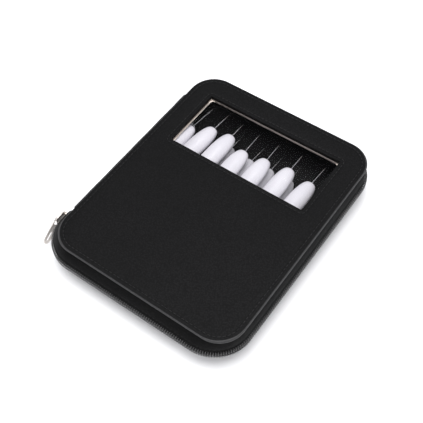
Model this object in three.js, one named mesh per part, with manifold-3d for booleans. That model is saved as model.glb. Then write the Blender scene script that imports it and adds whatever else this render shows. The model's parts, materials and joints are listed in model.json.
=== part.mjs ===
// Interchangeable needle set: a zip-around case with a window, and twelve handled needles in two rows.
// Millimetres, +Z up. The origin is the centre of the back cover's underside.
// +X points to the long side that opens, +Y to the end with the window.

import * as THREE from 'three';
import { mergeVertices } from 'three/addons/utils/BufferGeometryUtils.js';
import Module from 'manifold-3d';

const wasm = await Module();
wasm.setup();

// ---- driving dimensions ----
const COVER_W = 155;
const COVER_L = 192.4;
const COVER_R = 20;
const BACK_INSET = 1.2;
const BACK_R = 26;
const COVER_THICK = 3.6;
const CASE_H = 32;
const MID_Z = CASE_H / 2;
const COVER_BEVEL = 0.9;
const ARC_STEPS = 8;
const WELD = 1e-4;

const LINING_THICK = 0.6;
const LINING_GAP = 0.3;
const LINING_INSET = 3.6;

const WINDOW = { left: -57.8, right: 57.1, near: 23.7, far: 75.4 };
const RIM_LIP = 0.9;
const RIM_WIDTH = 4;
const RIM_THICK = 0.4;
const FILM_THICK = 0.3;
const FILM_GAP = 0.25;

// The zip stands proud of the covers by a different amount on each side.
const ZIP_OUT = { leftNear: 10.7, leftFar: 3.5, near: 5.9, right: 2.7, far: 3.8 };
const ZIP_CORNERS = { nearLeft: 29.6, nearRight: 29.6, farRight: 27, farLeft: 27 };
const ZIP_START_Y = -66;
const ZIP_END_Y = 68;
const COIL_H = 3.1;
const COIL_DEPTH = 2.2;
const COIL_GAP = 0.3;
const COIL_CHAMFER_IN = 0.5;
const COIL_CHAMFER_UP = 0.7;
const STOP_LENGTH = 2.4;
const STOP_SETBACK = 0.2;
const TAPE_THICK = 0.6;
const GUSSET_SETBACK = 1.75;
const GUSSET_THICK = 1.2;
const GUSSET_TUCK = 0.8;
const GUSSET_BULGE = 0.5;

const SPINE_THICK = 1.4;
const SPINE_GAP = 0.8;
const SPINE_END_GAP = 1.2;

const SLIDER_Y = [-77.6, -66.6];
const SLIDER_PLATE = 1.1;
const SLIDER_HALF_H = 3.9;
const SLIDER_CLEAR = 0.4;
const NECK_LENGTH = 2;
const NECK_HALF_H = 2;
const NECK_DEPTH = 1.6;
const BRIDGE_HALF_W = 0.9;
const BRIDGE_GAP = 1.5;
const BRIDGE_THICK = 0.7;
const BRIDGE_INSET = 1.4;
const BRIDGE_LEG = 1.2;
const PULL_LENGTH = 21.6;
const PULL_WIDTH = 8;
const PULL_THICK = 0.9;
const PULL_DROOP = 33;
const PULL_HANG = 1.5;

const HANDLE_L = 115;
const HANDLE_HALF_W = 7.5;
const HANDLE_HALF_H = 5.3;
const HANDLE_GAP = 0.25;
const NEEDLE_SEAT = 12;
const BORE_CLEAR = 0.5;
const SEAT_CLEAR = 0.5;
const NEEDLE_TAPER = 3;
const POINT_LENGTH = 0.6;
const POINT_SHARE = 0.6;
const HANDLE_SIDES = 16;
const NEEDLE_SIDES = 8;

const BAND_THICK = 0.45;
const BAND_CLEAR = 0.25;
const BAND_EDGE = 0.9;
const BAND_FOOT = 4;
const BAND_OVERRUN = 5;
const UPPER_BANDS = { window_end: [-4, 14], butt_end: [-46, -32] };
const LOWER_BANDS = { window_end: [-26, -8], butt_end: [-62, -48] };

// Each tool: where its needle leaves the handle, the needle's free length and radius, and its turn
// towards +X in degrees.
const UPPER_TOOLS = [
  { x: -58.1, y: 48.8, needle: 25.7, r: 0.40, turn: 5.8 },
  { x: -42.7, y: 56.5, needle: 19.2, r: 0.45, turn: 4.5 },
  { x: -27.1, y: 58.2, needle: 15.3, r: 0.50, turn: 2.0 },
  { x: -10.1, y: 51.0, needle: 20.8, r: 0.40, turn: 0.1 },
  { x: 8.1, y: 53.6, needle: 18.2, r: 0.45, turn: -0.6 },
  { x: 28.0, y: 56.3, needle: 17.2, r: 0.50, turn: 0.2 },
  { x: 47.7, y: 53.9, needle: 19.0, r: 0.45, turn: 2.7 },
];
const LOWER_TOOLS = [
  { x: -66.8, y: 58.5, needle: 14.3, r: 0.45, turn: 0.8 },
  { x: -26.2, y: 56.2, needle: 17.0, r: 0.50, turn: 2.9 },
  { x: -5.8, y: 54.2, needle: 19.9, r: 0.40, turn: 4.6 },
  { x: 11.4, y: 55.1, needle: 18.4, r: 0.45, turn: 2.1 },
  { x: 28.9, y: 54.9, needle: 18.6, r: 0.50, turn: -1.5 },
];

// ---- materials ----
const finish = (color, roughness, metalness = 0) =>
  new THREE.MeshStandardMaterial({ color, roughness, metalness });
const leather = () => finish(0x1c1c1e, 0.6);
const lining = () => finish(0x161618, 0.9);
const zipCloth = () => finish(0x1a1a1c, 0.85);
const coilPlastic = () => finish(0x2a2a2c, 0.45);
const elastic = () => finish(0x141416, 0.9);
const zipMetal = () => finish(0xb9b3aa, 0.35, 1);
const handlePlastic = () => finish(0xf2f0f4, 0.3);
const needleSteel = () => finish(0xa8a8ac, 0.25, 1);
const rimMetal = () => finish(0xc4bcb2, 0.4, 1);
const clearFilm = () => finish(0xdfe6ea, 0.1);

const root = new THREE.Group();

function addPart(name, geometry, material, parent = root) {
  const mesh = new THREE.Mesh(geometry, material);
  mesh.name = name;
  parent.add(mesh);
  return mesh;
}

// ---- booleans ----
function toSolid(geometry, matrix = new THREE.Matrix4()) {
  const copy = geometry.clone().applyMatrix4(matrix);
  copy.deleteAttribute('normal');
  copy.deleteAttribute('uv');
  const merged = mergeVertices(copy, WELD);
  const vertProperties = new Float32Array(merged.attributes.position.array);
  const triVerts = new Uint32Array(merged.index.array);
  return new wasm.Manifold(new wasm.Mesh({ numProp: 3, vertProperties, triVerts }));
}

function toGeometry(solid) {
  const mesh = solid.getMesh();
  const geometry = new THREE.BufferGeometry();
  geometry.setAttribute('position', new THREE.BufferAttribute(new Float32Array(mesh.vertProperties), 3));
  geometry.setIndex(new THREE.BufferAttribute(new Uint32Array(mesh.triVerts), 1));
  return geometry;
}

function boxBetween(low, high) {
  const geometry = new THREE.BoxGeometry(high[0] - low[0], high[1] - low[1], high[2] - low[2]);
  return geometry.translate((low[0] + high[0]) / 2, (low[1] + high[1]) / 2, (low[2] + high[2]) / 2);
}

// ---- flat boards ----
function roundedRect(path, left, right, near, far, r) {
  path.moveTo(left + r, near);
  path.lineTo(right - r, near);
  path.absarc(right - r, near + r, r, -Math.PI / 2, 0);
  path.lineTo(right, far - r);
  path.absarc(right - r, far - r, r, 0, Math.PI / 2);
  path.lineTo(left + r, far);
  path.absarc(left + r, far - r, r, Math.PI / 2, Math.PI);
  path.lineTo(left, near + r);
  path.absarc(left + r, near + r, r, Math.PI, Math.PI * 1.5);
  return path;
}

const boardShape = (inset, r) => roundedRect(new THREE.Shape(), -COVER_W / 2 + inset, COVER_W / 2 - inset,
  -COVER_L / 2 + inset, COVER_L / 2 - inset, r - inset);
const frontShape = (inset) => boardShape(inset, COVER_R);
const backShape = (inset) => boardShape(BACK_INSET + inset, BACK_INSET + BACK_R);

function windowPath(path, grow) {
  path.moveTo(WINDOW.left - grow, WINDOW.near - grow);
  path.lineTo(WINDOW.right + grow, WINDOW.near - grow);
  path.lineTo(WINDOW.right + grow, WINDOW.far + grow);
  path.lineTo(WINDOW.left - grow, WINDOW.far + grow);
  return path;
}

function coverBoard(shape) {
  const geometry = new THREE.ExtrudeGeometry(shape, {
    depth: COVER_THICK - 2 * COVER_BEVEL,
    bevelThickness: COVER_BEVEL,
    bevelSize: COVER_BEVEL,
    bevelSegments: 2,
    curveSegments: ARC_STEPS,
  });
  return geometry.translate(0, 0, COVER_BEVEL);
}

function sheet(shape, low, thick) {
  const options = { depth: thick, bevelEnabled: false, curveSegments: ARC_STEPS };
  return new THREE.ExtrudeGeometry(shape, options).translate(0, 0, low);
}

const frontUnder = CASE_H - COVER_THICK;
const upperLiningZ = frontUnder - LINING_GAP - LINING_THICK;
const lowerLiningZ = COVER_THICK + LINING_GAP;

const frontBoard = frontShape(COVER_BEVEL);
frontBoard.holes.push(windowPath(new THREE.Path(), COVER_BEVEL));
addPart('back_cover', coverBoard(backShape(COVER_BEVEL)), leather());
addPart('front_cover', coverBoard(frontBoard).translate(0, 0, frontUnder), leather());
addPart('back_lining', sheet(backShape(LINING_INSET), lowerLiningZ, LINING_THICK), lining());

const frontLining = frontShape(LINING_INSET);
frontLining.holes.push(windowPath(new THREE.Path(), RIM_WIDTH + LINING_GAP));
addPart('front_lining', sheet(frontLining, upperLiningZ, LINING_THICK), lining());

const rimZ = frontUnder - LINING_GAP - RIM_THICK;
const rim = windowPath(new THREE.Shape(), RIM_WIDTH);
rim.holes.push(windowPath(new THREE.Path(), -RIM_LIP));
addPart('window_rim', sheet(rim, rimZ, RIM_THICK), rimMetal());
const filmZ = rimZ - FILM_GAP - FILM_THICK;
addPart('window_film', sheet(windowPath(new THREE.Shape(), RIM_WIDTH), filmZ, FILM_THICK), clearFilm());

// ---- zip-around side walls ----
// An outline runs from the near end of the spine side, round the three zipped sides, to its far end.
// With a lateStart it begins that far into the first corner, in radians, and leaves out the straight.
function zipOutline(out, corners, endY = ZIP_END_Y, lateStart = 0) {
  const leftNear = -COVER_W / 2 - out.leftNear;
  const leftFar = -COVER_W / 2 - out.leftFar;
  const right = COVER_W / 2 + out.right;
  const near = -COVER_L / 2 - out.near;
  const far = COVER_L / 2 + out.far;
  const points = lateStart ? [] : [{ x: leftNear, y: ZIP_START_Y, nx: -1, ny: 0 }];
  const arc = (cx, cy, r, from, skip = 0) => {
    for (let i = 0; i <= ARC_STEPS; i++) {
      const a = from + skip + (Math.PI / 2 - skip) * (i / ARC_STEPS);
      points.push({ x: cx + r * Math.cos(a), y: cy + r * Math.sin(a), nx: Math.cos(a), ny: Math.sin(a) });
    }
  };
  arc(leftNear + corners.nearLeft, near + corners.nearLeft, corners.nearLeft, Math.PI, lateStart);
  arc(right - corners.nearRight, near + corners.nearRight, corners.nearRight, -Math.PI / 2);
  arc(right - corners.farRight, far - corners.farRight, corners.farRight, 0);
  arc(leftFar + corners.farLeft, far - corners.farLeft, corners.farLeft, Math.PI / 2);
  points.push({ x: leftFar, y: endY, nx: -1, ny: 0 });
  return points;
}

// A closed wall swept along the outline: every section corner is placed by place(station, corner).
function sweptWall(stations, cornerCount, place) {
  const positions = [];
  stations.forEach((station, i) => {
    for (let c = 0; c < cornerCount; c++) positions.push(...place(station, c, i));
  });
  const index = [];
  const id = (i, c) => i * cornerCount + (c % cornerCount);
  for (let i = 0; i < stations.length - 1; i++) {
    for (let c = 0; c < cornerCount; c++) {
      index.push(id(i, c), id(i + 1, c), id(i + 1, c + 1));
      index.push(id(i, c), id(i + 1, c + 1), id(i, c + 1));
    }
  }
  const last = stations.length - 1;
  for (let c = 1; c < cornerCount - 1; c++) {
    index.push(id(0, 0), id(0, c), id(0, c + 1));
    index.push(id(last, 0), id(last, c + 1), id(last, c));
  }
  const geometry = new THREE.BufferGeometry();
  geometry.setAttribute('position', new THREE.Float32BufferAttribute(positions, 3));
  geometry.setIndex(index);
  return geometry;
}

// Sections are listed for the upper half and mirrored about the case's middle for the lower half.
// The mirror turns the faces over, so the lower half reads its corners in reverse.
function bothHalves(name, stations, section, material, place, lowerPlace = place) {
  const count = section.length;
  const upper = (station, c, i) => place(station, section[c], i);
  const lower = (station, c, i) => {
    const [x, y, z] = lowerPlace(station, section[count - 1 - c], i);
    return [x, y, CASE_H - z];
  };
  addPart('upper_' + name, sweptWall(stations, count, upper), material());
  addPart('lower_' + name, sweptWall(stations, count, lower), material());
}

const zipPath = zipOutline(ZIP_OUT, ZIP_CORNERS);
function boardPath(inset, r) {
  const edges = { leftNear: -inset, leftFar: -inset, near: -inset, right: -inset, far: -inset };
  return zipOutline(edges, { nearLeft: r, nearRight: r, farRight: r, farLeft: r });
}

const coilLow = MID_Z + COIL_GAP / 2;
const coilHigh = coilLow + COIL_H;
const gussetLow = coilHigh + COIL_GAP;
const gussetHigh = frontUnder - LINING_GAP;

const alongNormal = (p, out, z) => [p.x + p.nx * out, p.y + p.ny * out, z];

// A gusset leans from under its cover's edge out to the zip, with a slight bulge between.
function gussetFrom(coverPath) {
  return (station, [share, depth], i) => {
    const top = alongNormal(coverPath[i], -GUSSET_TUCK - depth, 0);
    const low = alongNormal(zipPath[i], -GUSSET_SETBACK - depth, 0);
    const bulge = GUSSET_BULGE * Math.sin(Math.PI * share);
    return [
      top[0] + (low[0] - top[0]) * share + station.nx * bulge,
      top[1] + (low[1] - top[1]) * share + station.ny * bulge,
      gussetHigh + (gussetLow - gussetHigh) * share,
    ];
  };
}
const gussetShares = [0, 0.25, 0.5, 0.75, 1];
const gussetSection = [
  ...gussetShares.map((share) => [share, GUSSET_THICK]),
  ...gussetShares.toReversed().map((share) => [share, 0]),
];
const frontPath = boardPath(0, COVER_R);
const backPath = boardPath(BACK_INSET, BACK_R);
bothHalves('gusset', zipPath, gussetSection, leather, gussetFrom(frontPath), gussetFrom(backPath));

const tapeOuter = COIL_DEPTH + COIL_GAP;
const tapeSection = [
  [tapeOuter + TAPE_THICK, coilHigh], [tapeOuter + TAPE_THICK, coilLow],
  [tapeOuter, coilLow], [tapeOuter, coilHigh],
];
const inwards = (station, [depth, z]) => alongNormal(station, -depth, z);
bothHalves('zip_tape', zipPath, tapeSection, zipCloth, inwards);

// The coils stop at the slider and at the far end stops.
const coilSection = [
  [COIL_DEPTH, coilHigh], [COIL_DEPTH, coilLow], [COIL_CHAMFER_IN, coilLow],
  [0, coilLow + COIL_CHAMFER_UP], [0, coilHigh - COIL_CHAMFER_UP], [COIL_CHAMFER_IN, coilHigh],
];
const coilStart = SLIDER_Y[0] - SLIDER_CLEAR;
const coilEnd = ZIP_END_Y + STOP_LENGTH + COIL_GAP;
const cornerY = -COVER_L / 2 - ZIP_OUT.near + ZIP_CORNERS.nearLeft;
const lateStart = Math.asin((cornerY - coilStart) / ZIP_CORNERS.nearLeft);
const coilPath = zipOutline(ZIP_OUT, ZIP_CORNERS, coilEnd, lateStart);
bothHalves('zip_coil', coilPath, coilSection, coilPlastic, inwards);

const stopX = -COVER_W / 2 - ZIP_OUT.leftFar;
const stopBox = (low, high) => boxBetween(
  [stopX, ZIP_END_Y, low],
  [stopX + COIL_DEPTH - STOP_SETBACK, ZIP_END_Y + STOP_LENGTH, high],
);
addPart('upper_far_stop', stopBox(coilLow, coilHigh), zipMetal());
addPart('lower_far_stop', stopBox(CASE_H - coilHigh, CASE_H - coilLow), zipMetal());

// ---- spine ----
const spineX = -COVER_W / 2 - SPINE_GAP;
const spineLow = COVER_THICK + LINING_GAP;
addPart('spine_panel', boxBetween(
  [spineX - SPINE_THICK, ZIP_START_Y + SPINE_END_GAP, spineLow],
  [spineX, ZIP_END_Y - SPINE_END_GAP, CASE_H - spineLow],
), leather());

// ---- slider and pull ----
const coilX = -COVER_W / 2 - ZIP_OUT.leftNear;
const plateIn = coilX - COIL_GAP;
const plateOut = plateIn - SLIDER_PLATE;
const bridgeOut = plateOut - BRIDGE_GAP - BRIDGE_THICK;
const bridgeNear = SLIDER_Y[0] + BRIDGE_INSET;
const bridgeFar = SLIDER_Y[1] - BRIDGE_INSET;

function sliderBody() {
  const [near, far] = SLIDER_Y;
  const cut = 1.1;
  const shoulder = 2;
  // One side of the plate's outline, from its near end to its far end; the other side mirrors it.
  const side = [
    [near, SLIDER_HALF_H - cut], [near + cut, SLIDER_HALF_H - cut / 3],
    [far - shoulder, SLIDER_HALF_H], [far, SLIDER_HALF_H - cut],
  ];
  const outline = [...side.map(([y, z]) => [y, -z]), ...side.toReversed()];
  const shape = new THREE.Shape(outline.map(([y, z]) => new THREE.Vector2(y, z)));
  const flat = new THREE.ExtrudeGeometry(shape, { depth: SLIDER_PLATE, bevelEnabled: false });
  // The shape's axes (x, y, depth) become (Y, Z, X).
  const toSide = new THREE.Matrix4().set(0, 0, 1, plateOut, 1, 0, 0, 0, 0, 1, 0, MID_Z, 0, 0, 0, 1);
  const overlap = 0.1;
  const neck = boxBetween(
    [plateIn - overlap, far - NECK_LENGTH, MID_Z - NECK_HALF_H],
    [plateIn + NECK_DEPTH, far, MID_Z + NECK_HALF_H],
  );
  const bridge = toSolid(boxBetween(
    [bridgeOut, bridgeNear, MID_Z - BRIDGE_HALF_W],
    [plateOut + overlap, bridgeFar, MID_Z + BRIDGE_HALF_W],
  )).subtract(toSolid(boxBetween(
    [bridgeOut + BRIDGE_THICK, bridgeNear + BRIDGE_LEG, MID_Z - NECK_HALF_H],
    [plateOut, bridgeFar - BRIDGE_LEG, MID_Z + NECK_HALF_H],
  )));
  return toGeometry(toSolid(flat, toSide).add(toSolid(neck)).add(bridge));
}
addPart('slider_body', sliderBody(), zipMetal());

// The pull's eye hangs on the slider's bridge, and its tab droops towards the near side.
function pullTab() {
  const half = PULL_WIDTH / 2;
  const eyeHalf = 2.4;
  const eyeRim = 0.95;
  const eyeStep = 0.4;
  const neckY = -5.6;
  const neckBend = 1;
  const shoulderY = neckY - 3 * neckBend;
  const slotR = 1.6;
  const slotStraight = 5;
  const endY = -PULL_LENGTH + half;
  const outline = new THREE.Shape();
  outline.moveTo(-eyeHalf - eyeRim, eyeRim / 2);
  outline.lineTo(-eyeHalf - eyeRim, neckY);
  outline.quadraticCurveTo(-half, neckY - neckBend, -half, shoulderY);
  outline.lineTo(-half, endY);
  outline.absarc(0, endY, half, Math.PI, Math.PI * 2);
  outline.lineTo(half, shoulderY);
  outline.quadraticCurveTo(half, neckY - neckBend, eyeHalf + eyeRim, neckY);
  outline.lineTo(eyeHalf + eyeRim, eyeRim / 2);
  const eye = new THREE.Path();
  eye.moveTo(-eyeHalf, -eyeRim / 2);
  eye.lineTo(eyeHalf, -eyeRim / 2);
  eye.lineTo(eyeHalf, neckY + eyeStep);
  eye.lineTo(-eyeHalf, neckY + eyeStep);
  const slot = new THREE.Path();
  slot.absarc(0, endY, slotR, Math.PI, Math.PI * 2);
  slot.lineTo(slotR, endY + slotStraight);
  slot.absarc(0, endY + slotStraight, slotR, 0, Math.PI);
  outline.holes.push(eye, slot);
  const options = { depth: PULL_THICK, bevelEnabled: false, curveSegments: ARC_STEPS };
  return new THREE.ExtrudeGeometry(outline, options).translate(0, 0, -PULL_THICK / 2);
}
const pull = addPart('pull_tab', pullTab(), zipMetal());
pull.position.set(plateOut - BRIDGE_GAP / 2, bridgeNear + BRIDGE_LEG + PULL_HANG, MID_Z);
// Width stands along Z, length along Y and thickness along X, then the tab droops about X.
const standUp = new THREE.Matrix4().set(0, 0, 1, 0, 0, 1, 0, 0, -1, 0, 0, 0, 0, 0, 0, 1);
const droop = new THREE.Matrix4().makeRotationX(THREE.MathUtils.degToRad(PULL_DROOP));
pull.quaternion.setFromRotationMatrix(droop.multiply(standUp));

// ---- tools ----
const squash = HANDLE_HALF_H / HANDLE_HALF_W;
// Distance from the nose, and half width there.
const HANDLE_PROFILE = [
  [0, 2.0], [0.8, 3.7], [3, 5.1], [7, 6.3], [12, 7.1], [19, 7.5], [36, 7.5], [64, 7.2], [95, 6.0],
  [111, 4.9], [HANDLE_L, 3.2],
];

function handleGeometry(needleR) {
  const bore = (needleR + BORE_CLEAR) / squash ** 0.5;
  const seat = NEEDLE_SEAT + SEAT_CLEAR;
  const points = [new THREE.Vector2(0, -seat), new THREE.Vector2(bore, -seat), new THREE.Vector2(bore, 0)];
  HANDLE_PROFILE.forEach(([back, r]) => points.push(new THREE.Vector2(r, -back)));
  points.push(new THREE.Vector2(0, -HANDLE_L));
  return new THREE.LatheGeometry(points.reverse(), HANDLE_SIDES).scale(1, 1, squash);
}

function needleGeometry(needleR, length) {
  const points = [
    new THREE.Vector2(0, -NEEDLE_SEAT),
    new THREE.Vector2(needleR, -NEEDLE_SEAT),
    new THREE.Vector2(needleR, length - NEEDLE_TAPER),
    new THREE.Vector2(needleR * POINT_SHARE, length - POINT_LENGTH),
    new THREE.Vector2(0, length),
  ];
  return new THREE.LatheGeometry(points, NEEDLE_SIDES);
}

function toolGroup(tool, z) {
  const group = new THREE.Group();
  group.position.set(tool.x, tool.y, z);
  group.rotation.z = -THREE.MathUtils.degToRad(tool.turn);
  return group;
}

function addTools(row, tools, z) {
  tools.forEach((tool, i) => {
    const group = toolGroup(tool, z);
    root.add(group);
    addPart(`${row}_handle_${i + 1}`, handleGeometry(tool.r), handlePlastic(), group);
    addPart(`${row}_needle_${i + 1}`, needleGeometry(tool.r, tool.needle), needleSteel(), group);
  });
}
const upperToolZ = filmZ - HANDLE_GAP - HANDLE_HALF_H;
const lowerToolZ = lowerLiningZ + LINING_THICK + HANDLE_GAP + HANDLE_HALF_H;
addTools('upper', UPPER_TOOLS, upperToolZ);
addTools('lower', LOWER_TOOLS, lowerToolZ);

// ---- elastic bands ----
// One arch over each handle, joined by flat feet that are sewn to the lining between them.
function ovalAlong(tool, grow, range, z) {
  const shape = new THREE.Shape();
  shape.absellipse(0, 0, HANDLE_HALF_W + grow, HANDLE_HALF_H + grow, 0, Math.PI * 2);
  const length = range[1] - range[0];
  const options = { depth: length + 2 * BAND_OVERRUN, bevelEnabled: false, curveSegments: ARC_STEPS };
  const geometry = new THREE.ExtrudeGeometry(shape, options);
  // The extrusion's depth turns to run along -Y, starting past the band's window side.
  geometry.rotateX(Math.PI / 2).translate(0, range[1] + BAND_OVERRUN - tool.y, 0);
  const turn = toolGroup(tool, z);
  turn.updateMatrix();
  return toSolid(geometry, turn.matrix);
}

function toolBand(tools, range, toolZ, liningZ, side) {
  const inner = liningZ - side * LINING_GAP;
  const foot = [inner, inner - side * BAND_THICK].sort((a, b) => a - b);
  const atBand = (tool) => tool.x - (tool.y - (range[0] + range[1]) / 2) * Math.tan(
    THREE.MathUtils.degToRad(tool.turn));
  const reach = HANDLE_HALF_W + BAND_FOOT;
  const low = Math.max(atBand(tools[0]) - reach, -COVER_W / 2 + BAND_EDGE);
  const high = atBand(tools[tools.length - 1]) + reach;
  let band = toSolid(boxBetween([low, range[0], foot[0]], [high, range[1], foot[1]]));
  tools.forEach((tool) => {
    band = band.add(ovalAlong(tool, BAND_CLEAR + BAND_THICK, range, toolZ));
  });
  tools.forEach((tool) => {
    const cut = [range[0] - BAND_OVERRUN, range[1] + BAND_OVERRUN];
    band = band.subtract(ovalAlong(tool, BAND_CLEAR, cut, toolZ));
  });
  const zRange = [inner, inner - side * 2 * MID_Z].sort((a, b) => a - b);
  const room = toSolid(boxBetween([low, range[0], zRange[0]], [high, range[1], zRange[1]]));
  return toGeometry(band.intersect(room));
}

for (const [end, range] of Object.entries(UPPER_BANDS)) {
  addPart(`upper_band_${end}`, toolBand(UPPER_TOOLS, range, upperToolZ, upperLiningZ, 1), elastic());
}
for (const [end, range] of Object.entries(LOWER_BANDS)) {
  const liningTop = lowerLiningZ + LINING_THICK;
  addPart(`lower_band_${end}`, toolBand(LOWER_TOOLS, range, lowerToolZ, liningTop, -1), elastic());
}

export default root;
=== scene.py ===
import json
import math

import bmesh
import bpy
from mathutils import Matrix, Vector


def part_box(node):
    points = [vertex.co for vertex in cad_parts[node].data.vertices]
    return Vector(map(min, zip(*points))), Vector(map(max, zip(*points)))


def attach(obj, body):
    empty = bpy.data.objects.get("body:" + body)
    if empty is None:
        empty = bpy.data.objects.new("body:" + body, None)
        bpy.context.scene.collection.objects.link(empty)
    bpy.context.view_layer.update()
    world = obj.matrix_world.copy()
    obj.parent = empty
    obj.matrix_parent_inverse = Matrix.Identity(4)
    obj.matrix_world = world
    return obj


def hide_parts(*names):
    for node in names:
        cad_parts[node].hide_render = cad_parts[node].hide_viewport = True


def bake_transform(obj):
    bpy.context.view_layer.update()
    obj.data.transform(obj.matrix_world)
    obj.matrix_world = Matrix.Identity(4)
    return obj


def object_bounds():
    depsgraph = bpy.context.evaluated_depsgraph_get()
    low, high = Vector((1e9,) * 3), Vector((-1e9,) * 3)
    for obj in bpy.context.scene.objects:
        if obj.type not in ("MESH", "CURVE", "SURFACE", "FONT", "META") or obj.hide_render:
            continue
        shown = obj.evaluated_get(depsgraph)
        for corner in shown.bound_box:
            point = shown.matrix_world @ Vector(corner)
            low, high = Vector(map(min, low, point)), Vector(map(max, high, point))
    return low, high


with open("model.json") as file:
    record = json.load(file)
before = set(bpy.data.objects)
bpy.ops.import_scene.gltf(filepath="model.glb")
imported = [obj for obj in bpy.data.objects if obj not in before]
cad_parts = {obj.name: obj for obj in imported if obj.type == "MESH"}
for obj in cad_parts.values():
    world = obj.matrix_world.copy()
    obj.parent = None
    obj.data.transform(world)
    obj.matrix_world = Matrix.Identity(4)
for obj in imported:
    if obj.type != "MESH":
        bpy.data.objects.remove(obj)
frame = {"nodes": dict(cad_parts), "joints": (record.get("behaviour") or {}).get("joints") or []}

MM = 0.001
cad_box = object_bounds()

# ---- places from the frame, in metres ----
cover_low, cover_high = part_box("front_cover")
back_low, back_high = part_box("back_cover")
rim_low, rim_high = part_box("window_rim")
film_low, film_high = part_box("window_film")
coil_low, coil_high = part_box("upper_zip_coil")
gusset_low, gusset_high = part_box("upper_gusset")
tape_low, tape_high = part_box("upper_zip_tape")
slider_low, slider_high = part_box("slider_body")
spine_low, spine_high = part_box("spine_panel")
stop_low, stop_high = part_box("upper_far_stop")
case_top = cover_high.z
mid_z = case_top / 2

# ---- driving dimensions, in metres ----
COVER_R = 20 * MM
RIM_WIDTH = 4 * MM
ZIP_START_Y = -66 * MM
ZIP_END_Y = 68 * MM
ZIP_CORNERS = (29.6 * MM, 29.6 * MM, 27 * MM, 27 * MM)
GUSSET_TUCK = 0.8 * MM
GUSSET_SETBACK = 1.75 * MM
GUSSET_THICK = 1.2 * MM
TOOTH_PITCH = 1.77 * MM
STITCH_PITCH = 3.4 * MM
STITCH_LENGTH = 2.5 * MM
STITCH_RADIUS = 0.27 * MM
STITCH_INSET = 3.6 * MM
WINDOW_STITCH = 3.1 * MM
BACK_CORNER = 26 * MM
LINING_INSET = 3.6 * MM
LINING_GAP = 0.3 * MM
SEAM_SHARE = 0.8
GUSSET_BULGE = 0.5 * MM
FILAMENT_R = 0.33 * MM
SLIDER_CLEAR = 0.4 * MM
SPINE_FOOT = 2.4 * MM
HALF_WIDTH = 7.5 * MM
NEEDLE_SEAT = 12 * MM

window_left, window_right = rim_low.x + RIM_WIDTH, rim_high.x - RIM_WIDTH
window_near, window_far = rim_low.y + RIM_WIDTH, rim_high.y - RIM_WIDTH


# ---- materials ----
def new_material(name):
    mat = bpy.data.materials.new(name)
    mat.use_nodes = True
    nodes, links = mat.node_tree.nodes, mat.node_tree.links
    return mat, nodes, links, nodes["Principled BSDF"]


def object_coords(nodes, links, scale=(1, 1, 1)):
    coords = nodes.new("ShaderNodeTexCoord")
    mapping = nodes.new("ShaderNodeMapping")
    mapping.inputs["Scale"].default_value = scale
    links.new(coords.outputs["Object"], mapping.inputs["Vector"])
    return mapping.outputs["Vector"]


def noise(nodes, links, vector, scale, detail=4, rough=0.55):
    tex = nodes.new("ShaderNodeTexNoise")
    tex.inputs["Scale"].default_value = scale
    tex.inputs["Detail"].default_value = detail
    tex.inputs["Roughness"].default_value = rough
    links.new(vector, tex.inputs["Vector"])
    return tex.outputs["Fac"]


def ramp(nodes, links, value, stops):
    node = nodes.new("ShaderNodeValToRGB")
    while len(node.color_ramp.elements) < len(stops):
        node.color_ramp.elements.new(0.5)
    for element, (position, color) in zip(node.color_ramp.elements, stops):
        element.position = position
        element.color = (*color, 1)
    links.new(value, node.inputs["Fac"])
    return node.outputs["Color"]


def spread(nodes, links, value, low, high):
    node = nodes.new("ShaderNodeMapRange")
    node.inputs["To Min"].default_value = low
    node.inputs["To Max"].default_value = high
    links.new(value, node.inputs["Value"])
    return node.outputs["Result"]


def bump(nodes, links, height, distance, strength=1.0, below=None):
    node = nodes.new("ShaderNodeBump")
    node.inputs["Distance"].default_value = distance
    node.inputs["Strength"].default_value = strength
    links.new(height, node.inputs["Height"])
    if below is not None:
        links.new(below, node.inputs["Normal"])
    return node.outputs["Normal"]


def leather_material(name, dark, light, roughness, specular, grain=1.0):
    """Pebbled leather: creases round small cells, darker and rougher than the cells themselves."""
    mat, nodes, links, shader = new_material(name)
    vector = object_coords(nodes, links)
    drift = nodes.new("ShaderNodeTexNoise")
    drift.inputs["Scale"].default_value = 160
    links.new(vector, drift.inputs["Vector"])
    warp = nodes.new("ShaderNodeMix")
    warp.data_type = "VECTOR"
    warp.inputs["Factor"].default_value = 0.002
    links.new(vector, warp.inputs[4])
    links.new(drift.outputs["Color"], warp.inputs[5])
    cells = nodes.new("ShaderNodeTexVoronoi")
    cells.feature = "SMOOTH_F1"
    cells.inputs["Scale"].default_value = 900
    cells.inputs["Smoothness"].default_value = 0.35
    cells.inputs["Randomness"].default_value = 0.95
    links.new(warp.outputs[1], cells.inputs["Vector"])
    fine = noise(nodes, links, vector, 1500, 4, 0.65)
    broad = noise(nodes, links, vector, 16, 3)
    pebble = spread(nodes, links, cells.outputs["Distance"], 1.0, -0.9)
    mixed = nodes.new("ShaderNodeMix")
    mixed.data_type = "FLOAT"
    mixed.inputs["Factor"].default_value = 0.5
    links.new(pebble, mixed.inputs[2])
    links.new(fine, mixed.inputs[3])
    tone = nodes.new("ShaderNodeMix")
    tone.data_type = "FLOAT"
    tone.inputs["Factor"].default_value = 0.25
    links.new(mixed.outputs[0], tone.inputs[2])
    links.new(broad, tone.inputs[3])
    shade = tone.outputs[0]
    links.new(ramp(nodes, links, shade, [(0.3, dark), (0.66, light)]), shader.inputs["Base Color"])
    links.new(spread(nodes, links, shade, roughness + 0.12, roughness - 0.08), shader.inputs["Roughness"])
    wave = bump(nodes, links, broad, 0.3 * MM, 0.4)
    small = bump(nodes, links, fine, 0.06 * MM, 0.4 * grain, wave)
    links.new(bump(nodes, links, pebble, 0.08 * MM, 0.5 * grain, small), shader.inputs["Normal"])
    shader.inputs["Specular IOR Level"].default_value = specular
    return mat


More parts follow.
